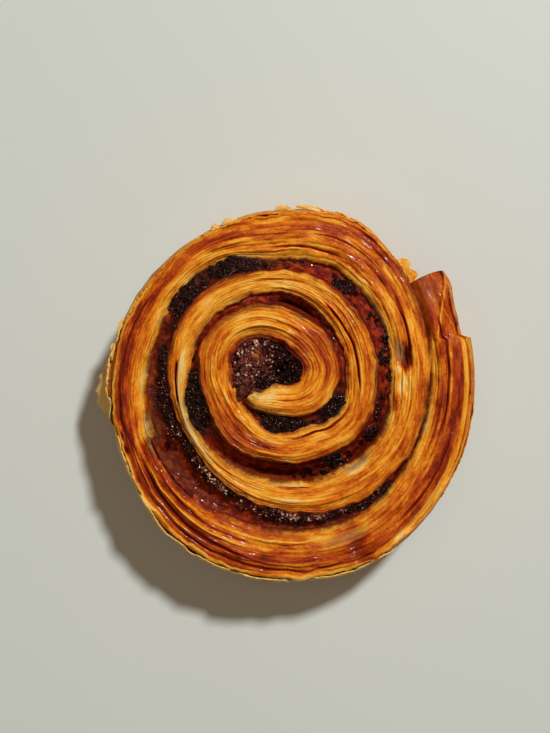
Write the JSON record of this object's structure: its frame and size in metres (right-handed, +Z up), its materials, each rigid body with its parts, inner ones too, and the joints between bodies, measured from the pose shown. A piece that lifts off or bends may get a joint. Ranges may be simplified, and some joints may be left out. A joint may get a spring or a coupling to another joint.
{
  "type": "cinnamon roll",
  "caption": "Round laminated cinnamon roll: a flaky dough strip wound in a spiral around a dark cinnamon seam, with a squared-off tail and a flat base to rest on.",
  "frame": {"origin": "middle of the roll's bounding box in plan, on the surface that its flat base rests on", "axes": "+Z up out of the swirl; +X to the right and +Y to the top of the picture, so that the strip's squared-off tail ends at the upper right"},
  "size_m": [0.1142, 0.1108, 0.0374],
  "materials": {
    "baked_dough": "golden to red-brown baked laminated dough, satin from egg wash and syrup",
    "cinnamon_sugar": "dark crumbly cinnamon sugar with glossy caramel"
  },
  "bodies": {
    "root": {"dough": "baked_dough", "cinnamon_filling": "cinnamon_sugar"}
  },
  "joints": []
}
